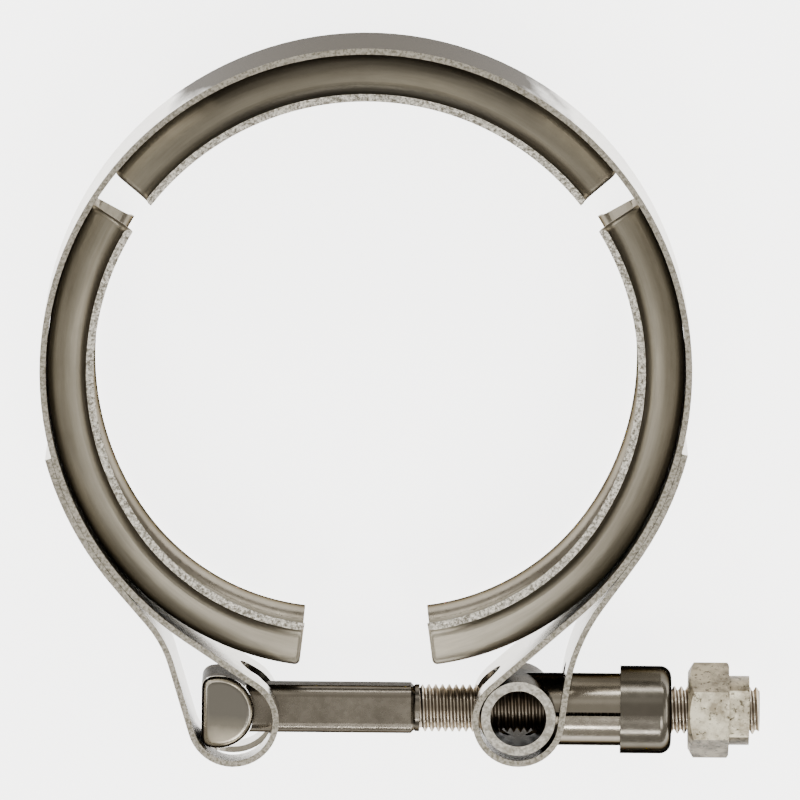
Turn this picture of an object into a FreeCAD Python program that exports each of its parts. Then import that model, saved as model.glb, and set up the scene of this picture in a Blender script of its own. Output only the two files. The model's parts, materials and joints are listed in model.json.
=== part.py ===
# Heavy-duty T-bolt V-band clamp, in millimetres.
# The clamp lies flat: +Z is the ring's axis, +X runs along the bolt from its head to its nut,
# and the origin is the ring's centre halfway across the band.

import FreeCAD, Part
import math
import os

import Sketcher
from FreeCAD import Placement, Rotation, Vector

SIZES = [
    # ring
    ("lip_radius", 36.05, "inside radius of the segments' lips"),
    ("groove_depth", 5.3, "from the lips' outer face to the crown's outer face"),
    ("segment_sheet", 1.0, "sheet thickness of the segments"),
    ("segment_width", 17.4, "width over both lips"),
    ("lip_land", 0.0655, "straight part of a lip between its bend and its cut edge"),
    ("flank_angle", 20, "angle of each flank to the ring's plane, in degrees"),
    ("crown_bend", 1.9, "outer bend radius between crown and flank"),
    ("lip_bend", 2.15, "outer bend radius between flank and lip"),
    ("end_rounding", 0.7, "rounding of the crown's corners at a segment's ends"),
    ("top_half_angle", 52, "half the arc of the top segment, in degrees"),
    ("side_start_angle", 58.75, "start of each side segment, from the top, in degrees"),
    ("side_relief_angle", 126, "where the side segments start to bend inwards, in degrees"),
    ("relief_shift", 5.5, "how much tighter the bend's radius is than the ring's"),
    ("relief_arc", 47.1, "arc of the inward bend, in degrees"),
    # band
    ("band_width", 19.05, "width of the strip"),
    ("band_sheet", 0.8, "thickness of the strip"),
    ("weld_gap", 0.05, "gap between welded layers"),
    ("weld_radius", 1.5, "radius of a weld nugget"),
    ("head_tail_angle", 105.3, "end of the tail on the head's side, from the top, in degrees"),
    ("trunnion_tail_angle", 104.5, "end of the tail on the trunnion's side, in degrees"),
    ("first_weld_angle", 5, "from a tail's end to its first weld, in degrees"),
    ("weld_pitch_angle", 8, "between a tail's two welds, in degrees"),
    ("loop_offset", 3.4, "from the band's outer radius to the loops' centre line"),
    ("head_loop_x", -17.65, "centre of the loop that holds the bolt's head"),
    ("trunnion_loop_x", 20.2, "centre of the loop that holds the trunnion"),
    ("loop_radius", 5.3, "inside radius of both loops"),
    ("head_neck_radius", 15, "middle radius of the neck on the head's side"),
    ("head_neck_angle", 130.5, "where that neck leaves the ring, from the top, in degrees"),
    ("head_leg_lean", 16.4, "lean of that neck's leg from the vertical, in degrees"),
    ("trunnion_neck_radius", 25, "middle radius of the neck on the trunnion's side"),
    ("trunnion_neck_angle", 126.5, "where that neck leaves the ring, in degrees"),
    ("trunnion_leg_lean", 8, "lean of that neck's leg from the vertical, in degrees"),
    ("head_slot_gap", 0.42, "clearance on each side of the shank in its slot"),
    ("head_slot_reach", 3.0, "how far the head's slot runs up the inner leg"),
    ("head_slot_end", 54, "lower end of the head's slot, below its centre line, in degrees"),
    ("thread_slot_reach", 2.2, "how far the thread's slot runs up the inner leg"),
    ("arm_slot_gap", 0.35, "clearance on each side of the arms in their slot"),
    ("arm_slot_reach", 7.4, "how far the arms' slot runs up its leg"),
    ("thread_slot_end", 43, "lower end of the thread's slot, below the centre line, in degrees"),
    ("arm_slot_end", 50, "lower end of the arms' slot, below the centre line, in degrees"),
    # bolt
    ("trunnion_rise", 0.35, "from the loops' centre line up to the trunnion's axis"),
    ("bolt_lean", 0.5, "slope of the loose bolt, its head up, in degrees"),
    ("head_back", 2.0, "how far the loose head stands back from its seat"),
    ("head_radius", 4.85, "radius of the half-round head"),
    ("head_flat", 2.2, "from the head's centre to its flat back"),
    ("head_length", 12.8, "length of the head across the band"),
    ("head_corner", 1.5, "rounding of the corners beside the flat back"),
    ("head_edge", 1.0, "rounding of the head's two ends"),
    ("shank_size", 6.35, "across the flats of the squared shank"),
    ("shank_corner", 1.45, "corner radius of the shank"),
    ("shank_length", 26.2, "from the head's centre to the shank's end"),
    ("shank_bevel", 0.6, "bevel at the shank's end"),
    ("thread_radius", 3.15, "outside radius of the thread"),
    ("bolt_end_bevel", 0.5, "bevel at the bolt's end"),
    ("bolt_protrusion", 1.4, "bolt beyond the nut"),
    # trunnion and its cap
    ("barrel_radius", 4.93, "outside radius of the barrel"),
    ("trunnion_sheet", 1.2, "sheet thickness of the trunnion"),
    ("arm_radius", 4.83, "outside radius of the two arms together"),
    ("arm_reach", 19.2, "from the barrel's axis to the arms' ends"),
    ("arm_slit", 0.5, "slit between the two arms"),
    ("fork_bend", 0.6, "rounding where the arms leave the barrel"),
    ("cap_overlap", 5.6, "how far the arms reach into the cap"),
    ("cap_floor", 1.15, "thickness of the cap's closed end"),
    ("cap_radius", 5.85, "outside radius of the cap"),
    ("cap_edge", 1.5, "rounding of the cap's closed end"),
    ("cap_fit", 0.05, "radial gap between cap and arms"),
    # nut
    ("nut_gap", 2.2, "from the cap to the nut"),
    ("nut_flats", 11.11, "across the nut's flats"),
    ("nut_height", 5.45, "height of the hexagon"),
    ("nut_face_bevel", 0.75, "axial depth of the bevel on the nut's bearing face"),
    ("nut_back_bevel", 0.25, "axial depth of the bevel on the hexagon's back"),
    ("collar_radius", 4.62, "radius of the locking collar"),
    ("collar_length", 2.7, "length of the locking collar"),
    ("thread_fit", 0.05, "radial gap between nut and thread"),
]

NEAR = 1e-3

doc = FreeCAD.newDocument("v_band_clamp")
sheet = doc.addObject("Spreadsheet::Sheet", "sizes")
for row, (alias, value, note) in enumerate(SIZES, start=1):
    sheet.set("A%d" % row, note)
    sheet.set("B%d" % row, str(value))
    sheet.setAlias("B%d" % row, alias)
doc.recompute()


def size(alias):
    """A driving dimension as a number."""
    return float(sheet.get(alias))


def new_body(label):
    body = doc.addObject("PartDesign::Body", label)
    body.Label = label
    return body


def new_sketch(body, name, plane_role):
    """A sketch on one of the body's own origin planes."""
    sketch = body.newObject("Sketcher::SketchObject", name)
    plane = next(item for item in body.Origin.OriginFeatures if item.Role == plane_role)
    sketch.AttachmentSupport = [(plane, "")]
    sketch.MapMode = "FlatFace"
    return sketch


def bind(item, prop, expression):
    item.setExpression(prop, expression)


def bind_distance(sketch, kind, geometry, point, expression, name):
    """Hold one coordinate of a sketch point to an expression."""
    start = float(sheet.evalExpression(expression))
    index = sketch.addConstraint(Sketcher.Constraint(kind, -1, 1, geometry, point, start))
    sketch.renameConstraint(index, name)
    bind(sketch, "Constraints." + name, expression)


def draw_polygon(sketch, corners):
    """Close a polygon whose corners are pairs of expressions."""
    points = [
        Vector(float(sheet.evalExpression(x)), float(sheet.evalExpression(y)), 0)
        for x, y in corners
    ]
    lines = []
    for index, point in enumerate(points):
        following = points[(index + 1) % len(points)]
        lines.append(sketch.addGeometry(Part.LineSegment(point, following), False))
    for index, line in enumerate(lines):
        following = lines[(index + 1) % len(lines)]
        sketch.addConstraint(Sketcher.Constraint("Coincident", line, 2, following, 1))
    for line, (x, y) in zip(lines, corners):
        bind_distance(sketch, "DistanceX", line, 1, x, "x%d" % line)
        bind_distance(sketch, "DistanceY", line, 1, y, "y%d" % line)
    return lines


def draw_circle(sketch, radius, name):
    """A circle about the sketch's origin."""
    start = float(sheet.evalExpression(radius))
    circle = sketch.addGeometry(Part.Circle(Vector(0, 0, 0), Vector(0, 0, 1), start), False)
    sketch.addConstraint(Sketcher.Constraint("Coincident", circle, 3, -1, 1))
    index = sketch.addConstraint(Sketcher.Constraint("Radius", circle, start))
    sketch.renameConstraint(index, name)
    bind(sketch, "Constraints." + name, radius)
    return circle


def edges_where(feature, test):
    """Names of the feature's edges that pass a test; an edge shrunk to a point has no curve."""
    names = []
    for number, edge in enumerate(feature.Shape.Edges, start=1):
        if not edge.Degenerated and test(edge):
            names.append("Edge%d" % number)
    return names


def add_fillet(body, base, test, radius, name):
    fillet = body.newObject("PartDesign::Fillet", name)
    fillet.Base = (base, edges_where(base, test))
    bind(fillet, "Radius", radius)
    doc.recompute()
    return fillet


def add_chamfer(body, base, test, reach, name):
    chamfer = body.newObject("PartDesign::Chamfer", name)
    chamfer.Base = (base, edges_where(base, test))
    bind(chamfer, "Size", reach)
    doc.recompute()
    return chamfer


# ---------------------------------------------------------------- V segments

def draw_section(body):
    """The formed sheet's section: lips, flanks and crown, in the plane of radius and width."""
    sketch = new_sketch(body, body.Label + "_section", "XZ_Plane")
    lip_inner = "sizes.lip_radius"
    lip_outer = "sizes.lip_radius + sizes.segment_sheet"
    crown_outer = lip_outer + " + sizes.groove_depth"
    crown_inner = crown_outer + " - sizes.segment_sheet"
    lip_end = "sizes.segment_width / 2"
    half_turn = "tan(45 - sizes.flank_angle / 2)"
    flank_foot = lip_end + " - sizes.lip_land - sizes.lip_bend * " + half_turn
    crown_edge = flank_foot + " - sizes.groove_depth * tan(sizes.flank_angle)"
    inward = " - sizes.segment_sheet * " + half_turn
    half = [
        (lip_inner, lip_end),
        (lip_outer, lip_end),
        (lip_outer, flank_foot),
        (crown_outer, crown_edge),
    ]
    inner_half = [
        (crown_inner, crown_edge + inward),
        (lip_inner, flank_foot + inward),
    ]
    mirrored = [(x, "-(%s)" % y) for x, y in reversed(half)]
    inner_mirrored = [(x, "-(%s)" % y) for x, y in reversed(inner_half)]
    draw_polygon(sketch, half + mirrored + inner_mirrored + inner_half)
    return sketch


def is_bend(edge, radii):
    """Whether an edge runs round the ring at one of the radii."""
    curve = edge.Curve
    if not isinstance(curve, Part.Circle):
        return False
    if abs(abs(curve.Axis.z) - 1) > NEAR:
        return False
    return any(abs(curve.Radius - radius) < NEAR for radius in radii)


def bend_rings(shift):
    """Radii of the bends' edges, as (outer at crown, inner at crown, outer at lip, inner at lip)."""
    lip_outer = size("lip_radius") + size("segment_sheet") - shift
    crown_outer = lip_outer + size("groove_depth")
    return (
        crown_outer,
        crown_outer - size("segment_sheet"),
        lip_outer,
        lip_outer - size("segment_sheet"),
    )


def edge_height(edge):
    return abs(edge.CenterOfMass.z)


def fold_sheet(body, base, shifts):
    """Round the four kinds of bend, so that the sheet keeps its thickness round them."""
    rings = [bend_rings(shift) for shift in shifts]
    lip_end = size("segment_width") / 2

    def at(kind):
        radii = [ring[kind] for ring in rings]
        return lambda edge: is_bend(edge, radii) and edge_height(edge) < lip_end - NEAR

    sheet_expr = "sizes.segment_sheet"
    feature = add_fillet(body, base, at(0), "sizes.crown_bend", body.Label + "_crown_outside")
    feature = add_fillet(
        body, feature, at(1), "sizes.crown_bend - " + sheet_expr, body.Label + "_crown_inside")
    feature = add_fillet(body, feature, at(2), "sizes.lip_bend", body.Label + "_lip_outside")
    feature = add_fillet(
        body, feature, at(3), "sizes.lip_bend + " + sheet_expr, body.Label + "_lip_inside")
    crowns = [ring[0] for ring in rings]

    def crown_end(edge):
        if not isinstance(edge.Curve, Part.Line) or abs(edge.Curve.Direction.z) < 1 - NEAR:
            return False
        reach = edge.CenterOfMass
        return any(
            abs(math.hypot(reach.x - size("relief_shift") * away, reach.y) - crown) < NEAR
            for away, crown in enumerate(crowns))

    return add_fillet(body, feature, crown_end, "sizes.end_rounding", body.Label + "_ends")


def revolve_section(body, sketch, axis, angle, name, reverse=False, both_ways=False):
    turn = body.newObject("PartDesign::Revolution", name)
    turn.Profile = sketch
    turn.ReferenceAxis = (sketch, [axis])
    turn.Midplane = both_ways
    turn.Reversed = reverse
    bind(turn, "Angle", angle)
    doc.recompute()
    return turn


def make_top_segment():
    body = new_body("v_segment_top")
    sketch = draw_section(body)
    arc = revolve_section(
        body, sketch, "V_Axis", "2 * sizes.top_half_angle", "top_arc", both_ways=True)
    fold_sheet(body, arc, [0])
    body.Placement = Placement(Vector(0, 0, 0), Rotation(Vector(0, 0, 1), 90))
    return body


def make_side_segment(label, side):
    """A side segment: an arc of the ring, and a tighter arc that bends its lower end inwards.

    side is +1 on the trunnion's side and -1 on the head's side.
    """
    body = new_body(label)
    sketch = draw_section(body)
    axis_x = "sizes.relief_shift"
    start = float(sheet.evalExpression(axis_x))
    reach = float(sheet.evalExpression("sizes.segment_width"))
    axis_line = sketch.addGeometry(
        Part.LineSegment(Vector(start, 0, 0), Vector(start, reach, 0)), True)
    sketch.addConstraint(Sketcher.Constraint("Vertical", axis_line))
    sketch.addConstraint(Sketcher.Constraint("PointOnObject", axis_line, 1, -1))
    bind_distance(sketch, "DistanceX", axis_line, 1, axis_x, "axis_x")
    bind_distance(sketch, "DistanceY", axis_line, 2, "sizes.segment_width", "axis_reach")
    doc.recompute()
    upper = revolve_section(
        body, sketch, "V_Axis", "sizes.side_relief_angle - sizes.side_start_angle",
        label + "_arc", reverse=side < 0)
    lower = revolve_section(
        body, sketch, "Axis0", "sizes.relief_arc", label + "_relief", reverse=side > 0)
    fold_sheet(body, lower, [0, size("relief_shift")])
    body.Placement = Placement(Vector(0, 0, 0), Rotation(Vector(0, 0, 1), 0))
    if side > 0:
        bind(body, "Placement.Rotation.Angle", "90 - sizes.side_relief_angle")
    else:
        bind(body, "Placement.Rotation.Angle", "90 + sizes.side_relief_angle")
    return body


# ---------------------------------------------------------------- band
# The strip's middle line is a chain of arcs joined by their common tangents. Each arc has a
# centre, a radius and a turn: +1 where the strip turns left along its run, -1 where it turns
# right. The run starts at the head's tail, goes round the head's loop, round the ring and
# round the trunnion's loop, and ends at the trunnion's tail.

def tangent_heading(first, second):
    """Heading of the line that leaves one arc and meets the next."""
    (centre_a, radius_a, turn_a), (centre_b, radius_b, turn_b) = first, second
    gap = centre_b - centre_a
    lean = (turn_a * radius_a - turn_b * radius_b) / gap.Length
    return math.atan2(gap.y, gap.x) + math.asin(lean)


def point_on(arc, heading):
    """Where an arc runs at a heading."""
    centre, radius, turn = arc
    left = Vector(-math.sin(heading), math.cos(heading), 0)
    return centre - left * (turn * radius)


def chain_elements(arcs, start_heading, end_heading):
    """Split the chain into arcs and lines: (arc, heading in, heading out) or (start, end)."""
    elements = []
    heading = start_heading
    for index, arc in enumerate(arcs):
        last = index == len(arcs) - 1
        leaving = end_heading if last else tangent_heading(arc, arcs[index + 1])
        turn = arc[2]
        swing = (turn * (leaving - heading)) % (2 * math.pi)
        leaving = heading + turn * swing
        elements.append(("arc", arc, heading, leaving))
        if not last:
            elements.append(("line", point_on(arc, leaving), point_on(arcs[index + 1], leaving)))
        heading = leaving
    return elements


def element_length(element):
    if element[0] == "line":
        return (element[2] - element[1]).Length
    return element[1][1] * abs(element[3] - element[2])


def trim_element(element, start, end):
    """The stretch of one element between two distances along it."""
    if element[0] == "line":
        along = (element[2] - element[1]).normalize()
        return ("line", element[1] + along * start, element[1] + along * end)
    arc, heading = element[1], element[2]
    turn = arc[2] / arc[1]
    return ("arc", arc, heading + turn * start, heading + turn * end)


def trim_chain(elements, start, end):
    """The stretch of the chain between two distances along it."""
    kept = []
    passed = 0.0
    for element in elements:
        length = element_length(element)
        low = max(start - passed, 0.0)
        high = min(end - passed, length)
        if high - low > NEAR:
            kept.append(trim_element(element, low, high))
        passed += length
    return kept


def shifted_edge(element, shift):
    """An element's edge, moved to its left by a distance."""
    if element[0] == "line":
        along = (element[2] - element[1]).normalize()
        left = Vector(-along.y, along.x, 0) * shift
        return Part.LineSegment(element[1] + left, element[2] + left).toShape()
    (centre, radius, turn), entering, leaving = element[1:]
    moved = (centre, radius - turn * shift, turn)
    middle = (entering + leaving) / 2
    return Part.Arc(
        point_on(moved, entering), point_on(moved, middle), point_on(moved, leaving)).toShape()


def strip_solid(elements, thickness, width):
    """The chain as a strip of a thickness, standing across the band's middle."""
    lefts = [shifted_edge(element, thickness / 2) for element in elements]
    rights = [shifted_edge(element, -thickness / 2) for element in elements]
    caps = [
        Part.LineSegment(rights[0].Vertexes[0].Point, lefts[0].Vertexes[0].Point).toShape(),
        Part.LineSegment(lefts[-1].Vertexes[-1].Point, rights[-1].Vertexes[-1].Point).toShape(),
    ]
    outline = Part.Wire(Part.__sortEdges__(lefts + rights + caps))
    face = Part.Face(outline)
    face.translate(Vector(0, 0, -width / 2))
    return face.extrude(Vector(0, 0, width))


def neck_centre(loop_centre, loop_middle, tail_middle, prefix, side):
    """Centre of a neck's arc, which touches the tail's straight run and the loop's leg."""
    radius = size(prefix + "_neck_radius")
    bearing = math.radians(size(prefix + "_neck_angle"))
    lean = math.radians(size(prefix + "_leg_lean"))
    from_ring = Vector(side * math.sin(bearing), math.cos(bearing), 0)
    from_loop = Vector(side * math.cos(lean), -math.sin(lean), 0)
    ring_reach = tail_middle + radius
    loop_reach = loop_middle + radius + loop_centre.dot(from_loop)
    spread = from_ring.x * from_loop.y - from_ring.y * from_loop.x
    return Vector(
        (ring_reach * from_loop.y - loop_reach * from_ring.y) / spread,
        (loop_reach * from_ring.x - ring_reach * from_loop.x) / spread,
        0,
    )


def band_outer_radius():
    return (
        size("lip_radius") + size("segment_sheet") + size("groove_depth")
        + size("weld_gap") + size("band_sheet")
    )


def loop_line_y():
    return -(band_outer_radius() + size("loop_offset"))


def head_loop_centre():
    return Vector(size("head_loop_x"), loop_line_y(), 0)


def trunnion_loop_centre():
    return Vector(size("trunnion_loop_x"), loop_line_y(), 0)


def band_chain():
    """The strip's arcs and lines in order, from the head's tail to the trunnion's tail."""
    thickness = size("band_sheet")
    centre = Vector(0, 0, 0)
    ring_middle = band_outer_radius() - thickness / 2
    tail_middle = ring_middle + thickness + size("weld_gap")
    loop_middle = size("loop_radius") + thickness / 2
    head_loop = head_loop_centre()
    trunnion_loop = trunnion_loop_centre()
    arcs = [
        (centre, tail_middle, 1),
        (
            neck_centre(head_loop, loop_middle, tail_middle, "head", -1),
            size("head_neck_radius"), -1,
        ),
        (head_loop, loop_middle, 1),
        (centre, ring_middle, -1),
        (trunnion_loop, loop_middle, 1),
        (
            neck_centre(trunnion_loop, loop_middle, tail_middle, "trunnion", 1),
            size("trunnion_neck_radius"), -1,
        ),
        (centre, tail_middle, 1),
    ]
    start_heading = math.pi + math.radians(size("head_tail_angle"))
    end_heading = math.pi - math.radians(size("trunnion_tail_angle"))
    return chain_elements(arcs, start_heading, end_heading)


def slot_tool(elements, start, end, width):
    """The cutter of a slot with half-round ends along a stretch of the strip."""
    depth = 3 * size("band_sheet")
    radius = width / 2
    first = start + radius
    last = end - radius
    stretch = trim_chain(elements, first, last)
    tool = strip_solid(stretch, depth, width)
    for place, inside in ((first, first + NEAR * 20), (last, last - NEAR * 20)):
        low, high = min(place, inside), max(place, inside)
        piece = shifted_edge(trim_chain(elements, low, high)[0], 0)
        parameter = piece.FirstParameter if place < inside else piece.LastParameter
        tangent = piece.tangentAt(parameter)
        left = Vector(-tangent.y, tangent.x, 0)
        point = piece.valueAt(parameter)
        tool = tool.fuse(Part.makeCylinder(radius, depth, point - left * (depth / 2), left))
    return tool


def lengths_before(elements):
    """Distance along the strip at which each element starts."""
    starts = [0.0]
    for element in elements:
        starts.append(starts[-1] + element_length(element))
    return starts


def loop_distance(element, bearing):
    """Distance along a loop's arc to a bearing from its centre, in degrees."""
    entry = element[2] - math.pi / 2
    swing = (math.radians(bearing) - entry) % (2 * math.pi)
    return swing * element[1][1]


def make_band():
    band = doc.addObject("Part::Feature", "band")
    band.Label = "band"
    elements = band_chain()
    shape = strip_solid(elements, size("band_sheet"), size("band_width"))
    starts = lengths_before(elements)

    # elements: 0 tail, 1 line, 2 neck, 3 line, 4 loop, 5 line, 6 ring, and the same back
    shank_slot = size("shank_size") + 2 * size("head_slot_gap")
    arm_slot = 2 * (size("arm_radius") + size("arm_slot_gap"))
    head_slot = slot_tool(
        elements,
        starts[4] + loop_distance(elements[4], 180 + size("head_slot_end")),
        starts[5] + size("head_slot_reach"),
        shank_slot,
    )
    thread_slot = slot_tool(
        elements,
        starts[8] - size("thread_slot_reach"),
        starts[8] + loop_distance(elements[8], 180 + size("thread_slot_end")),
        shank_slot,
    )
    arms_slot = slot_tool(
        elements,
        starts[8] + loop_distance(elements[8], 360 - size("arm_slot_end")),
        starts[9] + size("arm_slot_reach"),
        arm_slot,
    )
    lean = math.radians(size("bolt_lean"))
    arms_passage = Part.makeCylinder(
        arm_slot / 2,
        3 * size("loop_radius"),
        trunnion_loop_centre() + Vector(0, size("trunnion_rise"), 0),
        Vector(math.cos(lean), -math.sin(lean), 0),
    )
    shape = shape.cut(head_slot).cut(thread_slot).cut(arms_slot).cut(arms_passage)

    # weld nuggets that join each tail to the ring
    inner_face = band_outer_radius() - size("band_sheet") / 2
    nugget_length = size("band_sheet") + size("weld_gap")
    for side, tail in ((-1, "head_tail_angle"), (1, "trunnion_tail_angle")):
        for number in range(2):
            angle = size(tail) + size("first_weld_angle")
            angle += number * size("weld_pitch_angle")
            bearing = math.radians(90 - side * angle)
            outward = Vector(math.cos(bearing), math.sin(bearing), 0)
            nugget = Part.makeCylinder(
                size("weld_radius"), nugget_length, outward * inner_face, outward)
            shape = shape.fuse(nugget)
    band.Shape = shape.removeSplitter()
    return band


# ---------------------------------------------------------------- T-bolt

TRUNNION_Y = (
    "-(sizes.lip_radius + sizes.segment_sheet + sizes.groove_depth + sizes.weld_gap"
    " + sizes.band_sheet + sizes.loop_offset) + sizes.trunnion_rise"
)
HEAD_AWAY = "(sizes.trunnion_loop_x - sizes.head_loop_x + sizes.head_back)"
CAP_START = "(sizes.arm_reach - sizes.cap_overlap)"
CAP_LENGTH = "(sizes.cap_overlap + sizes.weld_gap + sizes.cap_floor)"
NUT_START = "(" + CAP_START + " + " + CAP_LENGTH + " + sizes.nut_gap)"
BOLT_REACH = (
    HEAD_AWAY + " + " + NUT_START
    + " + sizes.nut_height + sizes.collar_length + sizes.bolt_protrusion"
)


def set_on_axis(body, distance):
    """Place a body on the bolt's sloping axis, at a distance from the trunnion's axis."""
    body.Placement = Placement(Vector(0, 0, 0), Rotation(Vector(0, 0, -1), 1))
    bind(body, "Placement.Rotation.Angle", "sizes.bolt_lean")
    bind(
        body, "Placement.Base.x",
        "sizes.trunnion_loop_x + (" + distance + ") * cos(sizes.bolt_lean)")
    bind(
        body, "Placement.Base.y",
        TRUNNION_Y + " - (" + distance + ") * sin(sizes.bolt_lean)")


def runs_along_x(edge):
    """Whether an edge is a straight line along the bolt."""
    if not isinstance(edge.Curve, Part.Line):
        return False
    return abs(abs(edge.Curve.Direction.x) - 1) < NEAR


def make_t_bolt():
    """The half-round head lies across the band. The body's origin is the head's centre."""
    body = new_body("t_bolt")
    outline = new_sketch(body, "head_outline", "XY_Plane")
    radius = size("head_radius")
    flat = size("head_flat")
    half_turn = math.acos(-flat / radius)
    circle = Part.Circle(Vector(0, 0, 0), Vector(0, 0, 1), radius)
    arc = outline.addGeometry(Part.ArcOfCircle(circle, -half_turn, half_turn), False)
    corner = Vector(-flat, radius * math.sin(half_turn), 0)
    back = outline.addGeometry(
        Part.LineSegment(corner, Vector(corner.x, -corner.y, 0)), False)
    outline.addConstraint(Sketcher.Constraint("Coincident", arc, 3, -1, 1))
    outline.addConstraint(Sketcher.Constraint("Coincident", arc, 2, back, 1))
    outline.addConstraint(Sketcher.Constraint("Coincident", back, 2, arc, 1))
    outline.addConstraint(Sketcher.Constraint("Vertical", back))
    index = outline.addConstraint(Sketcher.Constraint("Radius", arc, radius))
    outline.renameConstraint(index, "head_radius")
    bind(outline, "Constraints.head_radius", "sizes.head_radius")
    bind_distance(outline, "DistanceX", back, 1, "-sizes.head_flat", "head_flat")
    doc.recompute()
    head = body.newObject("PartDesign::Pad", "head")
    head.Profile = outline
    head.Midplane = True
    bind(head, "Length", "sizes.head_length")
    doc.recompute()

    def upright(edge):
        return isinstance(edge.Curve, Part.Line) and abs(edge.Curve.Direction.z) > 1 - NEAR

    cornered = add_fillet(body, head, upright, "sizes.head_corner", "head_corners")
    half_length = size("head_length") / 2

    def end_outline(edge):
        box = edge.BoundBox
        return box.ZLength < NEAR and abs(abs(box.ZMax) - half_length) < NEAR

    add_fillet(body, cornered, end_outline, "sizes.head_edge", "head_ends")

    square = new_sketch(body, "shank_section", "YZ_Plane")
    half = "sizes.shank_size / 2"
    minus = "-(sizes.shank_size / 2)"
    draw_polygon(square, [(half, half), (minus, half), (minus, minus), (half, minus)])
    doc.recompute()
    shank = body.newObject("PartDesign::Pad", "shank")
    shank.Profile = square
    bind(shank, "Length", "sizes.shank_length")
    doc.recompute()
    beyond_head = size("head_radius")

    def long_edge(edge):
        return runs_along_x(edge) and edge.BoundBox.XMax > beyond_head

    corners = add_fillet(body, shank, long_edge, "sizes.shank_corner", "shank_corners")

    shank_end = size("shank_length")

    def end_edge(edge):
        box = edge.BoundBox
        return abs(box.XMin - shank_end) < NEAR and abs(box.XMax - shank_end) < NEAR

    bevelled = add_chamfer(body, corners, end_edge, "sizes.shank_bevel", "shank_end")

    stem = new_sketch(body, "thread_section", "XZ_Plane")
    inside = "sizes.shank_length - sizes.head_radius"
    draw_polygon(stem, [
        (inside, "0"),
        (BOLT_REACH, "0"),
        (BOLT_REACH, "sizes.thread_radius - sizes.bolt_end_bevel"),
        (BOLT_REACH + " - sizes.bolt_end_bevel", "sizes.thread_radius"),
        ("sizes.shank_length", "sizes.thread_radius"),
        ("sizes.shank_length - sizes.bolt_end_bevel", "sizes.thread_radius - sizes.bolt_end_bevel"),
        (inside, "sizes.thread_radius - sizes.bolt_end_bevel"),
    ])
    doc.recompute()
    thread = body.newObject("PartDesign::Revolution", "thread_stem")
    thread.Profile = stem
    thread.ReferenceAxis = (stem, ["H_Axis"])
    thread.Angle = 360
    doc.recompute()
    set_on_axis(body, "-" + HEAD_AWAY)
    return body


# ---------------------------------------------------------------- trunnion

def make_trunnion():
    """One folded sheet: a barrel across the band and two half-round arms along the bolt."""
    body = new_body("trunnion")
    barrel_end = new_sketch(body, "barrel_end", "XY_Plane")
    draw_circle(barrel_end, "sizes.barrel_radius", "barrel")
    doc.recompute()
    barrel = body.newObject("PartDesign::Pad", "barrel")
    barrel.Profile = barrel_end
    barrel.Midplane = True
    bind(barrel, "Length", "sizes.band_width")
    doc.recompute()

    arm_end = new_sketch(body, "arm_end", "YZ_Plane")
    draw_circle(arm_end, "sizes.arm_radius", "arm")
    doc.recompute()
    arms = body.newObject("PartDesign::Pad", "arms")
    arms.Profile = arm_end
    bind(arms, "Length", "sizes.arm_reach")
    doc.recompute()

    bore_end = new_sketch(body, "barrel_bore_end", "XY_Plane")
    draw_circle(bore_end, "sizes.barrel_radius - sizes.trunnion_sheet", "barrel_bore")
    doc.recompute()
    barrel_bore = body.newObject("PartDesign::Pocket", "barrel_bore")
    barrel_bore.Profile = bore_end
    barrel_bore.Midplane = True
    bind(barrel_bore, "Length", "2 * sizes.band_width")
    doc.recompute()

    passage_end = new_sketch(body, "bolt_passage_end", "YZ_Plane")
    draw_circle(passage_end, "sizes.arm_radius - sizes.trunnion_sheet", "bolt_passage")
    doc.recompute()
    passage = body.newObject("PartDesign::Pocket", "bolt_passage")
    passage.Profile = passage_end
    passage.Midplane = True
    bind(passage, "Length", "4 * sizes.arm_reach")
    doc.recompute()

    slit_side = new_sketch(body, "slit_side", "XZ_Plane")
    start = "sizes.barrel_radius"
    beyond = "2 * sizes.arm_reach"
    across = "sizes.band_width"
    draw_polygon(slit_side, [
        (start, across), (start, "-" + across), (beyond, "-" + across), (beyond, across),
    ])
    doc.recompute()
    slit = body.newObject("PartDesign::Pocket", "slit")
    slit.Profile = slit_side
    slit.Midplane = True
    bind(slit, "Length", "sizes.arm_slit")
    doc.recompute()
    set_on_axis(body, "0")
    return body


def make_trunnion_cap():
    """A drawn cup pressed over the ends of the arms."""
    body = new_body("trunnion_cap")
    section = new_sketch(body, "cap_section", "XZ_Plane")
    inner = "sizes.arm_radius + sizes.cap_fit"
    hole = "sizes.arm_radius - sizes.trunnion_sheet"
    floor_x = "sizes.cap_overlap + sizes.weld_gap"
    draw_polygon(section, [
        ("0", inner),
        ("0", "sizes.cap_radius"),
        (CAP_LENGTH, "sizes.cap_radius"),
        (CAP_LENGTH, hole),
        (floor_x, hole),
        (floor_x, inner),
    ])
    doc.recompute()
    cup = body.newObject("PartDesign::Revolution", "cup")
    cup.Profile = section
    cup.ReferenceAxis = (section, ["H_Axis"])
    cup.Angle = 360
    doc.recompute()
    outer = size("cap_radius")
    far = float(sheet.evalExpression(CAP_LENGTH))

    def rim(edge):
        curve = edge.Curve
        if not isinstance(curve, Part.Circle):
            return False
        return abs(curve.Radius - outer) < NEAR and abs(edge.BoundBox.XMax - far) < NEAR

    add_fillet(body, cup, rim, "sizes.cap_edge", "cap_rounding")
    set_on_axis(body, CAP_START)
    return body


# ---------------------------------------------------------------- lock nut

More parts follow.
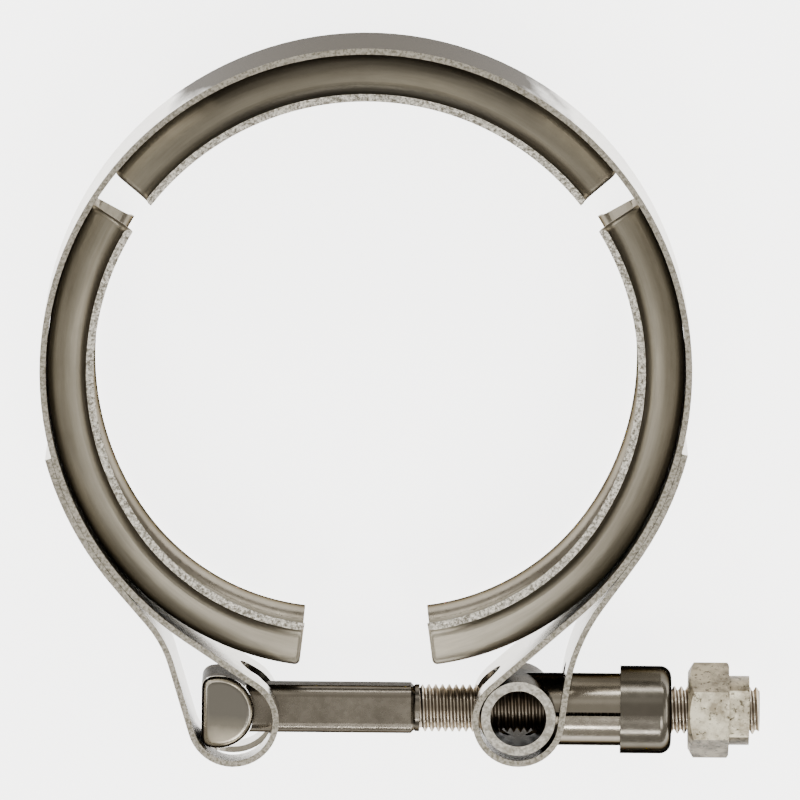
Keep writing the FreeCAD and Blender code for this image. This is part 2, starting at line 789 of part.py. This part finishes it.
def make_lock_nut():
    body = new_body("lock_nut")
    hexagon = new_sketch(body, "hexagon", "YZ_Plane")
    corners = []
    for step in range(6):
        angle = 90 + 60 * step
        corners.append((
            "sizes.nut_flats / sqrt(3) * cos(%d)" % angle,
            "sizes.nut_flats / sqrt(3) * sin(%d)" % angle,
        ))
    draw_polygon(hexagon, [(y, z) for z, y in corners])
    doc.recompute()
    hex_pad = body.newObject("PartDesign::Pad", "hex_pad")
    hex_pad.Profile = hexagon
    bind(hex_pad, "Length", "sizes.nut_height")
    doc.recompute()

    bevels = new_sketch(body, "hex_bevels", "XZ_Plane")
    tip = "sizes.nut_flats / sqrt(3)"
    beyond = tip + " + sizes.nut_height"
    slope = " / tan(30)"
    draw_polygon(bevels, [
        ("-(sizes.nut_height)", beyond),
        ("-(sizes.nut_height)", tip + " - sizes.nut_face_bevel" + slope),
        ("0", tip + " - sizes.nut_face_bevel" + slope),
        ("sizes.nut_face_bevel", tip),
        ("sizes.nut_height - sizes.nut_back_bevel", tip),
        ("sizes.nut_height", tip + " - sizes.nut_back_bevel" + slope),
        ("2 * sizes.nut_height", tip + " - sizes.nut_back_bevel" + slope),
        ("2 * sizes.nut_height", beyond),
    ])
    doc.recompute()
    groove = body.newObject("PartDesign::Groove", "hex_bevel")
    groove.Profile = bevels
    groove.ReferenceAxis = (bevels, ["H_Axis"])
    groove.Angle = 360
    doc.recompute()

    collar_section = new_sketch(body, "collar_section", "XZ_Plane")
    draw_polygon(collar_section, [
        ("sizes.nut_height / 2", "sizes.thread_radius"),
        ("sizes.nut_height / 2", "sizes.collar_radius"),
        ("sizes.nut_height + sizes.collar_length", "sizes.collar_radius"),
        ("sizes.nut_height + sizes.collar_length", "sizes.thread_radius"),
    ])
    doc.recompute()
    collar = body.newObject("PartDesign::Revolution", "collar")
    collar.Profile = collar_section
    collar.ReferenceAxis = (collar_section, ["H_Axis"])
    collar.Angle = 360
    doc.recompute()

    bore_end = new_sketch(body, "nut_bore_end", "YZ_Plane")
    draw_circle(bore_end, "sizes.thread_radius + sizes.thread_fit", "nut_bore")
    doc.recompute()
    bore = body.newObject("PartDesign::Pocket", "nut_bore")
    bore.Profile = bore_end
    bore.Midplane = True
    bind(bore, "Length", "4 * (sizes.nut_height + sizes.collar_length)")
    doc.recompute()
    set_on_axis(body, NUT_START)
    return body


# ---------------------------------------------------------------- build, check and write

pieces = [
    make_band(),
    make_top_segment(),
    make_side_segment("v_segment_left", -1),
    make_side_segment("v_segment_right", 1),
    make_t_bolt(),
    make_trunnion(),
    make_trunnion_cap(),
    make_lock_nut(),
]
doc.recompute()

for item in doc.Objects:
    if "Invalid" in item.State or "Error" in item.State:
        raise RuntimeError("%s did not compute: %s" % (item.Name, item.State))
for piece in pieces:
    if piece.Shape.isNull() or not piece.Shape.isValid():
        raise RuntimeError("%s has no valid shape" % piece.Label)
    if len(piece.Shape.Solids) != 1:
        raise RuntimeError("%s has %d solids" % (piece.Label, len(piece.Shape.Solids)))

os.makedirs("parts", exist_ok=True)
for piece in pieces:
    piece.Shape.exportStep("parts/%s.step" % piece.Label)
    box = piece.Shape.BoundBox
    print("%-16s volume %8.1f  x %7.2f %7.2f  y %7.2f %7.2f  z %6.2f %6.2f" % (
        piece.Label, piece.Shape.Volume, box.XMin, box.XMax, box.YMin, box.YMax, box.ZMin, box.ZMax))
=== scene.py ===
import json
import math

import bmesh
import bpy
from mathutils import Matrix, Vector


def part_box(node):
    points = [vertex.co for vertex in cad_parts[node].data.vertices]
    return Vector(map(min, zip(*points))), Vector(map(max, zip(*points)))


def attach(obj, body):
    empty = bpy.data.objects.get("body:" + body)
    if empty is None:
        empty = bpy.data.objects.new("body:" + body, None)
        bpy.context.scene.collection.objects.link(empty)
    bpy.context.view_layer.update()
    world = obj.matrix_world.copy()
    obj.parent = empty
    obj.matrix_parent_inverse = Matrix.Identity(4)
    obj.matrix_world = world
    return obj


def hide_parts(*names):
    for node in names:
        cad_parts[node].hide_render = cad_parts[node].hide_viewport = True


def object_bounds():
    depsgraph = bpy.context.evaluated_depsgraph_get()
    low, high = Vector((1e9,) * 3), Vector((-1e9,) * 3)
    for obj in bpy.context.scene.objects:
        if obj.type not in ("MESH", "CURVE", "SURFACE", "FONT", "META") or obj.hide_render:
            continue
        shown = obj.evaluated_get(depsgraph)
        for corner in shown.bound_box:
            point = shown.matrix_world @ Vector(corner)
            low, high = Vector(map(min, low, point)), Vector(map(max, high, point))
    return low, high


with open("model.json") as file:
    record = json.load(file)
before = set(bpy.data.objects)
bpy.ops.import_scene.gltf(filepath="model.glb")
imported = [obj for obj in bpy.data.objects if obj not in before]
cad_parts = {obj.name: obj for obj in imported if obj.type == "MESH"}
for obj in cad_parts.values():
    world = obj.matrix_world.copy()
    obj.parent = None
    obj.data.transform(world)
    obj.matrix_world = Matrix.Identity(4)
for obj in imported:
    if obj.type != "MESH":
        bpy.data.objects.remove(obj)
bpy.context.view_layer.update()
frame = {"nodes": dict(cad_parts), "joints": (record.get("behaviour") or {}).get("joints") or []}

MM = 0.001
SCENE = bpy.context.scene

nodes = frame["nodes"]
joints = {joint["name"]: joint for joint in frame["joints"]}
barrel_axis = Vector(joints["trunnion_swivel"]["pos_m"])

RING_RADIUS = 40 * MM   # makes a length of an angle round the ring
EDGE_DEPTH = 0.02 * MM  # a cut edge's faces lie within this of their node's end along Z
BORE_RADIUS = 3.9 * MM  # the barrel's faces nearer its axis than this are its bore
HEAD_FROM = 4 * MM      # the bolt's faces further from Z = 0 than this are its head
# The head's end faces carry a painted cream reflection that fades to grey:
HEAD_CREAM = 0.4 * MM   # the head's end faces are cream up to this far above its lowest point
HEAD_GREY = 5 * MM      # and grey from this far above it

# How much of a face's normal points along Z, or sideways, for the face to count as such.
CUT_EDGE_RISE = 0.9
NUT_TOP_RISE = 0.75
HEAD_SIDE_RISE = 0.35
HEAD_RIM_RISE = 0.72
HEAD_END_RISE = 0.97
SIDEWAYS = 0.5

PITCH = 25.4 / 28 * MM     # a 1/4-28 thread
CREST = 3.15 * MM
ROOT = 2.62 * MM
THREAD_FROM = -13.1 * MM   # the thread's start along the bolt, from the barrel's axis
THREAD_SHORT = 0.03 * MM   # how far the thread's end stays inside the plain bolt's
RUN_OUT = 0.1 * MM         # how far the thread stands above its root where it ends
LEAD_IN = 1.2              # turns that begin before the thread's start and are cut off there
STEPS = 48                 # steps in a turn
PROFILE = [(0.0, ROOT), (0.16, ROOT), (0.50, CREST), (0.68, CREST)]  # shares of the pitch, radii

FLOOR_REACH = 3.0
FLOOR_GAP = 0.05 * MM
CAMERA_TILT = math.radians(7.5)
CAMERA_DISTANCE = 2.6
CAMERA_AIM = Vector((4.515 * MM, -4.85 * MM, 0))
VIEW_WIDTH = 0.10624       # what the picture's width takes in at the point aimed at
SENSOR_WIDTH = 36.0


# ------------------------------------------------------------------ shader nodes

class Tree:
    """A material's shader nodes, with short ways of adding and linking them."""

    def __init__(self, name):
        self.material = bpy.data.materials.new(name)
        self.material.use_nodes = True
        self.nodes = self.material.node_tree.nodes
        self.links = self.material.node_tree.links
        self.shader = self.nodes["Principled BSDF"]

    def add(self, kind, inputs=None, **settings):
        node = self.nodes.new(kind)
        for key, value in settings.items():
            setattr(node, key, value)
        for key, value in (inputs or {}).items():
            self.put(value, node.inputs[key])
        return node

    def put(self, value, socket):
        """Link an output to a socket, or set the socket to a number, a vector or a colour."""
        if isinstance(value, bpy.types.NodeSocket):
            self.links.new(value, socket)
        elif socket.type == "RGBA":
            socket.default_value = (*value, 1)
        else:
            socket.default_value = value

    def finish(self, values):
        """Put values on the shader's sockets, by their names."""
        for name, value in values.items():
            self.put(value, self.shader.inputs[name])
        return self.material

    def place(self):
        """The shaded point in the piece's own coordinates."""
        return self.add("ShaderNodeTexCoord").outputs["Object"]

    def axes(self):
        """The shaded point's X, Y and Z."""
        return self.add("ShaderNodeSeparateXYZ", {"Vector": self.place()}).outputs

    def stretched(self, scale):
        """The shaded point, scaled along the axes."""
        return self.add("ShaderNodeMapping", {"Vector": self.place(), "Scale": scale}).outputs[0]

    def around(self, stretch):
        """Coordinates that run round the ring, across it and along its axis."""
        x, y, z = self.axes()
        squares = self.calc("ADD", self.calc("MULTIPLY", x, x), self.calc("MULTIPLY", y, y))
        turned = self.calc("MULTIPLY", self.calc("ARCTAN2", x, y), RING_RADIUS * stretch)
        joined = self.add(
            "ShaderNodeCombineXYZ", {"X": turned, "Y": self.calc("SQRT", squares), "Z": z})
        return joined.outputs[0]

    def calc(self, operation, first, second=0.0):
        node = self.add("ShaderNodeMath", operation=operation)
        self.put(first, node.inputs[0])
        self.put(second, node.inputs[1])
        return node.outputs[0]

    def span(self, value, low, high, first, last):
        """Map the range from low to high onto the range from first to last."""
        node = self.add(
            "ShaderNodeMapRange",
            {"Value": value, "From Min": low, "From Max": high, "To Min": first, "To Max": last})
        return node.outputs[0]

    def noise(self, scale, detail, roughness, place=None):
        node = self.add(
            "ShaderNodeTexNoise",
            {"Vector": place or self.place(), "Scale": scale, "Detail": detail,
             "Roughness": roughness})
        return node.outputs["Fac"]

    def swing(self, noise, amount):
        """A noise made to swing about zero."""
        return self.calc("MULTIPLY", self.calc("SUBTRACT", noise, 0.5), amount)

    def ramp(self, value, stops):
        """Colours by value: stops is a list of places and colours."""
        node = self.add("ShaderNodeValToRGB", {"Fac": value})
        elements = node.color_ramp.elements
        while len(elements) < len(stops):
            elements.new(0.5)
        for element, (place, colour) in zip(elements, stops):
            element.position = place
            element.color = (*colour, 1)
        return node.outputs["Color"]

    def blend(self, kind, factor, first, second):
        """Blend two colours, which are inputs 6 and 7 of the Mix node."""
        node = self.add("ShaderNodeMix", data_type="RGBA", blend_type=kind)
        self.put(factor, node.inputs["Factor"])
        self.put(first, node.inputs[6])
        self.put(second, node.inputs[7])
        return node.outputs[2]

    def painted_side_shade(self, colour, low, high, factor):
        """Paint shade on a round part's sides: darken them near Z = 0 by a factor that fades out
        between two heights.
        """
        height = self.calc("ABSOLUTE", self.axes()["Z"])
        share = self.span(height, low, high, factor, 1.0)
        shade = self.add(
            "ShaderNodeCombineColor", {"Red": share, "Green": share, "Blue": share})
        return self.blend("MULTIPLY", 1.0, colour, shade.outputs[0])

    def bump(self, height, strength, distance):
        node = self.add(
            "ShaderNodeBump", {"Height": height, "Strength": strength, "Distance": distance})
        return node.outputs[0]


# ------------------------------------------------------------------ materials

def finish_metal(tree, colour, roughness, normal, edge_tint, metallic=1.0, gloss=0.5):
    """What every metal here sets; the tint darkens what is seen at a glancing angle."""
    return tree.finish({
        "Base Color": colour, "Roughness": roughness, "Normal": normal, "Metallic": metallic,
        "Specular Tint": edge_tint, "Specular IOR Level": gloss})


def steel(name, dark, light, rough, edge_tint=(0.45, 0.42, 0.38), mottle_scale=60, sides=None):
    """Rolled stainless steel: slow mottling, fine grain and a slight relief, with painted shade on a
    round part's sides when sides is given.
    """
    tree = Tree(name)
    mottle = tree.noise(mottle_scale, 5.0, 0.6)
    grain = tree.noise(900, 6.0, 0.65)
    colour = tree.ramp(mottle, [(0.3, dark), (0.7, light)])
    # painted shade: a round part's sides near Z = 0 are darkened
    if sides:
        colour = tree.painted_side_shade(colour, *sides)
    roughness = tree.span(grain, 0.3, 0.7, rough - 0.05, rough + 0.05)
    return finish_metal(tree, colour, roughness, tree.bump(grain, 0.35, 0.02 * MM), edge_tint)


def brushed(name, dark, light, rough, edge_tint):
    """Formed stainless sheet, brushed round the ring, with soft worn streaks."""
    tree = Tree(name)
    mottle = tree.noise(60, 5.0, 0.6)
    lines = tree.noise(1100, 5.0, 0.6, tree.around(0.05))
    wear = tree.noise(330, 4.0, 0.6, tree.around(0.12))
    colour = tree.ramp(mottle, [(0.3, dark), (0.7, light)])
    worn = tree.ramp(wear, [
        (0.34, (0.82, 0.81, 0.79)), (0.56, (1.0, 1.0, 1.0)), (0.70, (1.28, 1.27, 1.24))])
    scored = tree.ramp(lines, [(0.30, (0.86, 0.85, 0.84)), (0.65, (1.06, 1.06, 1.06))])
    colour = tree.blend("MULTIPLY", 1.0, colour, worn)
    colour = tree.blend("MULTIPLY", 1.0, colour, scored)
    roughness = tree.span(lines, 0.3, 0.7, rough - 0.06, rough + 0.06)
    return finish_metal(tree, colour, roughness, tree.bump(lines, 0.5, 0.03 * MM), edge_tint)


def sheared_edge(name, dark, light, scale, relief):
    """A cut edge of the sheet: coarse, sparkling grains, some bright and some dark."""
    tree = Tree(name)
    grains = tree.noise(scale, 3.0, 0.7)
    colour = tree.ramp(grains, [(0.40, dark), (0.60, light)])
    roughness = tree.span(grains, 0.3, 0.7, 0.45, 0.28)
    return finish_metal(
        tree, colour, roughness, tree.bump(grains, 0.9, relief), (0.6, 0.58, 0.54))


def plating(name, dull, light, metallic):
    """Worn zinc plating: light patches over dull ones, with small dark pits."""
    tree = Tree(name)
    patches = tree.noise(330, 6.0, 0.7)
    pits = tree.noise(1500, 3.0, 0.65)
    base = tree.ramp(patches, [(0.38, dull), (0.60, light)])
    pitted = tree.ramp(pits, [(0.34, (0.25, 0.24, 0.22)), (0.44, (1.0, 1.0, 1.0))])
    colour = tree.blend("MULTIPLY", 1.0, base, pitted)
    roughness = tree.span(patches, 0.3, 0.7, 0.52, 0.36)
    return finish_metal(
        tree, colour, roughness, tree.bump(pits, 0.7, 0.06 * MM), (0.4, 0.36, 0.28),
        metallic, gloss=0.1)


def band_steel(name):
    """The strip's faces: bright steel, with a painted dark reflection on the side away from the bolt.
    """
    tree = Tree(name)
    mottle = tree.noise(70, 5.0, 0.6)
    grain = tree.noise(900, 6.0, 0.65)
    streaks = tree.noise(45, 5.0, 0.6, tree.stretched((4, 1, 1)))

    # The mask below is 0 in the patch of painted dark reflection and 1 outside it: the patch ends at
    # an angle from +Y, in a slanted and ragged edge.
    x, y, z = tree.axes()
    angle = tree.calc("ARCTAN2", tree.calc("ABSOLUTE", x), y)
    slanted = tree.calc("ADD", angle, tree.calc("MULTIPLY", z, 4.0))
    ragged = tree.calc("ADD", slanted, tree.swing(streaks, 0.35))
    outside_painted_reflection = tree.span(ragged, 0.53, 0.68, 0.0, 1.0)

    bright = tree.ramp(mottle, [(0.3, (0.27, 0.250, 0.212)), (0.7, (0.37, 0.347, 0.303))])
    colour = tree.blend("MIX", outside_painted_reflection, (0.050, 0.042, 0.031), bright)
    tint = tree.ramp(outside_painted_reflection, [(0.0, (0.004, 0.003, 0.002)), (1.0, (0.97, 0.96, 0.94))])
    roughness = tree.calc("MULTIPLY", outside_painted_reflection, tree.calc("ADD", tree.swing(grain, 0.2), 0.2))
    relief = tree.bump(tree.calc("MULTIPLY", outside_painted_reflection, grain), 0.35, 0.02 * MM)
    metallic = tree.span(outside_painted_reflection, 0.0, 1.0, 0.25, 1.0)
    return finish_metal(tree, colour, roughness, relief, tint, metallic, gloss=0.0)


def painted_reflection_face(name, low, high):
    """A steel face with a painted cream reflection below one place along Y, fading to grey above
    another.
    """
    tree = Tree(name)
    mottle = tree.noise(260, 4.0, 0.6)
    fade = tree.span(tree.axes()["Y"], low, high, 1.0, 0.0)
    colour = tree.ramp(tree.calc("ADD", fade, tree.swing(mottle, 0.5)), [
        (0.10, (0.17, 0.16, 0.14)), (0.45, (0.24, 0.222, 0.186)), (0.85, (0.66, 0.60, 0.49))])
    return finish_metal(tree, colour, 0.28, tree.bump(mottle, 0.3, 0.02 * MM), (0.3, 0.28, 0.25))


head_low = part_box("t_bolt")[0].y

BAND_FACE_PAINTED_REFLECTION = band_steel("band face with painted reflection")
BAND_EDGE = sheared_edge(
    "band cut edge", (0.19, 0.176, 0.143), (0.49, 0.46, 0.40), 2600, 0.03 * MM)
SEGMENT = brushed(
    "segment sheet", (0.27, 0.249, 0.203), (0.335, 0.310, 0.258), 0.38, (0.45, 0.42, 0.38))
# A darker copy of the segment steel for faces towards the ring's axis: painted shade.
SEGMENT_INSIDE_PAINTED_SHADE = steel(
    "segment sheet inside with painted shade", (0.13, 0.115, 0.09), (0.19, 0.172, 0.14), 0.30, (0.06, 0.055, 0.045))
LIP_EDGE = sheared_edge(
    "lip cut edge", (0.17, 0.157, 0.13), (0.74, 0.71, 0.64), 2600, 0.08 * MM)
# the shank's sides near Z = 0 take painted shade
BOLT = steel(
    "bolt steel", (0.14, 0.125, 0.104), (0.20, 0.180, 0.151), 0.27, (0.12, 0.11, 0.095), 150,
    sides=(2.75 * MM, 3.0 * MM, 0.35))
THREAD = steel("thread", (0.30, 0.265, 0.215), (0.42, 0.375, 0.315), 0.32, mottle_scale=200)
# Bright copies of the bolt steel for the head's rims and sides: painted highlights.
HEAD_RIM_HIGHLIGHT = steel("bolt head rim with painted highlight", (0.70, 0.66, 0.58), (0.86, 0.82, 0.74), 0.22)
HEAD_SIDE_HIGHLIGHT = steel(
    "bolt head side with painted highlight", (0.86, 0.85, 0.83), (0.92, 0.91, 0.89), 0.12, (1.0, 1.0, 1.0))
HEAD_FACE_PAINTED_REFLECTION = painted_reflection_face("bolt head face with painted reflection", head_low + HEAD_CREAM, head_low + HEAD_GREY)
# the arms' and barrel's sides near Z = 0 take painted shade
TRUNNION = steel(
    "trunnion sheet", (0.20, 0.18, 0.15), (0.27, 0.246, 0.207), 0.20, (0.10, 0.095, 0.085),
    sides=(2.6 * MM, 3.9 * MM, 0.30))
# A darker copy of the trunnion steel for the barrel's bore: painted shade.
TRUNNION_BORE_PAINTED_SHADE = steel(
    "trunnion inside with painted shade", (0.10, 0.088, 0.07), (0.15, 0.135, 0.11), 0.30, (0.10, 0.095, 0.085))
TRUNNION_EDGE = sheared_edge(
    "trunnion cut edge", (0.28, 0.262, 0.225), (0.66, 0.635, 0.58), 1500, 0.05 * MM)
# the cap's sides near Z = 0 take painted shade
CAP = steel(
    "cap sheet", (0.105, 0.096, 0.080), (0.145, 0.133, 0.112), 0.22, (0.05, 0.048, 0.044),
    sides=(3.4 * MM, 4.8 * MM, 0.40))
NUT = plating("nut plating", (0.32, 0.278, 0.205), (0.82, 0.765, 0.605), 0.4)
# Darker copies of the nut plating for its sides and the faces towards -Y: painted shade.
NUT_SIDE_PAINTED_SHADE = plating("nut plating with painted shade on the sides", (0.10, 0.084, 0.058), (0.33, 0.285, 0.205), 0.0)
NUT_LOW_PAINTED_SHADE = plating("nut plating with painted shade below", (0.05, 0.042, 0.029), (0.17, 0.146, 0.105), 0.0)
BOLT_MATERIALS = [BOLT, THREAD, HEAD_RIM_HIGHLIGHT, HEAD_SIDE_HIGHLIGHT, HEAD_FACE_PAINTED_REFLECTION]


# ------------------------------------------------------------------ CAD nodes

def give(obj, materials, choose):
    """Put materials on a mesh; choose(centre, normal) returns the one that a face takes."""
    obj.data.materials.clear()
    for material in materials:
        obj.data.materials.append(material)
    for face in obj.data.polygons:
        face.material_index = materials.index(choose(face.center, face.normal))


def cut_edge_of(name):
    """A test for the faces of a node's cut edges, which are its two ends along Z."""
    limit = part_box(name)[1].z - EDGE_DEPTH
    return lambda centre, normal: abs(normal.z) > CUT_EDGE_RISE and abs(centre.z) > limit


on_band_edge = cut_edge_of("band")
give(
    nodes["band"], [BAND_FACE_PAINTED_REFLECTION, BAND_EDGE],
    lambda centre, normal: BAND_EDGE if on_band_edge(centre, normal) else BAND_FACE_PAINTED_REFLECTION)


def dress_segment(segment, on_lip_edge):
    """Sheared lips, darker faces with painted shade towards the ring's axis and brushed ones away
    from it.
    """

    def choose(centre, normal):
        if on_lip_edge(centre, normal):
            return LIP_EDGE
        outward = normal.xy.dot(centre.xy.normalized())
        return SEGMENT_INSIDE_PAINTED_SHADE if outward < -SIDEWAYS else SEGMENT

    give(segment, [SEGMENT, LIP_EDGE, SEGMENT_INSIDE_PAINTED_SHADE], choose)


for name in ("v_segment_top", "v_segment_left", "v_segment_right"):
    segment = nodes[name]
    dress_segment(segment, cut_edge_of(name))

on_barrel_edge = cut_edge_of("trunnion")


def trunnion_choice(centre, normal):
    if on_barrel_edge(centre, normal):
        return TRUNNION_EDGE
    # faces inside the bore take the painted shade
    in_bore = (centre - barrel_axis).xy.length < BORE_RADIUS
    return TRUNNION_BORE_PAINTED_SHADE if in_bore else TRUNNION


give(nodes["trunnion"], [TRUNNION, TRUNNION_EDGE, TRUNNION_BORE_PAINTED_SHADE], trunnion_choice)
give(nodes["trunnion_cap"], [CAP], lambda centre, normal: CAP)


def nut_choice(centre, normal):
    # top faces keep the plain plating; the sides and the faces towards -Y take the painted shade
    if abs(normal.z) > NUT_TOP_RISE:
        return NUT
    return NUT_LOW_PAINTED_SHADE if normal.y < -SIDEWAYS else NUT_SIDE_PAINTED_SHADE


give(nodes["lock_nut"], [NUT, NUT_SIDE_PAINTED_SHADE, NUT_LOW_PAINTED_SHADE], nut_choice)


# ------------------------------------------------------------------ bolt with its thread

def bolt_choice(centre, normal):
    """What a face of the bolt takes: the head's sides and rims have their own painted highlights, and
    its end faces a painted reflection.
    """
    if abs(centre.z) <= HEAD_FROM:
        return BOLT
    rise = abs(normal.z)
    if rise < HEAD_SIDE_RISE:
        return HEAD_SIDE_HIGHLIGHT
    if rise > HEAD_END_RISE:
        return HEAD_FACE_PAINTED_REFLECTION
    return HEAD_RIM_HIGHLIGHT if rise > HEAD_RIM_RISE else BOLT


def bolt_vertex(mesh, axis, x, radius, step):
    """A vertex at a place along the bolt's axis, a distance from it and a step of a turn."""
    angle = 2 * math.pi * step / STEPS
    return mesh.verts.new(axis @ Vector((x, radius * math.cos(angle), radius * math.sin(angle))))


def thread_row(mesh, axis, start, end, step):
    """The thread's profile at one step of its helix, kept between the thread's two ends."""
    row = []
    for offset, radius in PROFILE:
        x = start + (step / STEPS + offset - LEAD_IN) * PITCH
        x = min(max(x, start), end)
        radius = min(radius, ROOT + RUN_OUT + min(end - x, x - start))
        row.append(bolt_vertex(mesh, axis, x, radius, step))
    return row


def add_thread(mesh, axis, start, end):
    """Add a helical thread between two places along the bolt's axis, closed at its end."""
    last_step = (int((end - start) / PITCH) + 3) * STEPS
    rows = [thread_row(mesh, axis, start, end, step) for step in range(last_step + 1)]
    quads = []
    for step in range(last_step):
        a, b = rows[step], rows[step + 1]
        quads += [(a[i], b[i], b[i + 1], a[i + 1]) for i in range(len(PROFILE) - 1)]
        if step + STEPS < last_step:
            quads.append((a[-1], b[-1], rows[step + 1 + STEPS][0], rows[step + STEPS][0]))
    for quad in quads:
        mesh.faces.new(quad).material_index = BOLT_MATERIALS.index(THREAD)
    rim = [bolt_vertex(mesh, axis, end, ROOT + RUN_OUT, step) for step in range(STEPS)]
    mesh.faces.new(rim).material_index = BOLT_MATERIALS.index(BOLT)


def threaded_bolt():
    """The bolt's mesh, cut off where its thread starts and carried on by the thread."""
    direction = Vector(joints["bolt_float"]["axis"])
    lean = math.atan2(direction.y, direction.x)
    axis = Matrix.Translation(barrel_axis) @ Matrix.Rotation(lean, 4, "Z")
    end = (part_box("t_bolt")[1].x - barrel_axis.x) / math.cos(lean) - THREAD_SHORT
    work = bmesh.new()
    work.from_mesh(nodes["t_bolt"].data)
    bmesh.ops.bisect_plane(
        work, geom=work.verts[:] + work.edges[:] + work.faces[:],
        plane_co=axis @ Vector((THREAD_FROM, 0, 0)), plane_no=direction, clear_outer=True)
    for face in work.faces:
        material = bolt_choice(face.calc_center_median(), face.normal)
        face.material_index = BOLT_MATERIALS.index(material)
    add_thread(work, axis, THREAD_FROM, end)
    mesh = bpy.data.meshes.new("t_bolt_threaded")
    work.to_mesh(mesh)
    work.free()
    for material in BOLT_MATERIALS:
        mesh.materials.append(material)
    return mesh


bolt = bpy.data.objects.new("t_bolt_threaded", threaded_bolt())
SCENE.collection.objects.link(bolt)
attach(bolt, "bolt")
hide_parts("t_bolt")


# ------------------------------------------------------------------ floor, light and camera

floor_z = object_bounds()[0].z - FLOOR_GAP
floor_corners = [(x * FLOOR_REACH, y * FLOOR_REACH, floor_z)
                 for x, y in ((-1, -1), (1, -1), (1, 1), (-1, 1))]
floor_mesh = bpy.data.meshes.new("floor")
floor_mesh.from_pydata(floor_corners, [], [(0, 1, 2, 3)])
floor_mesh.materials.append(Tree("floor paper").finish({
    "Base Color": (0.93, 0.93, 0.93), "Roughness": 0.9,
    "Emission Color": (1.0, 1.0, 1.0), "Emission Strength": 3.8}))
floor = bpy.data.objects.new("floor", floor_mesh)
SCENE.collection.objects.link(floor)

world = bpy.data.worlds.new("studio")
world.use_nodes = True
background = world.node_tree.nodes["Background"]
background.inputs["Color"].default_value = (1.0, 0.95, 0.84, 1)
background.inputs["Strength"].default_value = 0.74
SCENE.world = world


def softbox(name, place, width, height, radiance):
    """A rectangular lamp that faces the clamp; radiance is how bright its face looks."""
    light = bpy.data.lights.new(name, "AREA")
    light.shape = "RECTANGLE"
    light.size = width
    light.size_y = height
    light.energy = radiance * math.pi * width * height
    light.color = (1.0, 0.99, 0.97)
    lamp = bpy.data.objects.new(name, light)
    lamp.location = place
    lamp.rotation_euler = Vector(place).to_track_quat("Z", "Y").to_euler()
    SCENE.collection.objects.link(lamp)


for side, sign in (("left", -1), ("right", 1)):
    softbox(side, (sign * 1.5, -0.35, 1.35), 1.2, 0.9, 1.4)
    softbox("side " + side, (sign * 2.0, 0.0, 0.80), 1.6, 0.35, 6.0)
    softbox("low " + side, (sign * 0.57, -1.22, 1.60), 0.46, 0.34, 7.0)
    softbox("front " + side, (sign * 0.50, -0.87, 1.73), 0.50, 0.50, 8.0)
softbox("low middle", (0.0, -1.75, 1.28), 0.20, 0.20, 42.0)
softbox("back", (0.0, 1.8, 0.95), 2.2, 0.30, 9.0)
softbox("high back", (0.0, 1.1, 1.75), 1.8, 0.5, 0.4)

camera_data = bpy.data.cameras.new("camera")
camera_data.sensor_width = SENSOR_WIDTH
camera_data.lens = SENSOR_WIDTH * CAMERA_DISTANCE / VIEW_WIDTH
camera_data.clip_start = 0.1
camera_data.clip_end = 20.0
camera = bpy.data.objects.new("camera", camera_data)
camera.location = CAMERA_AIM + CAMERA_DISTANCE * Vector(
    (0, math.sin(CAMERA_TILT), math.cos(CAMERA_TILT)))
camera.rotation_euler = (-CAMERA_TILT, 0, 0)
SCENE.collection.objects.link(camera)
SCENE.camera = camera
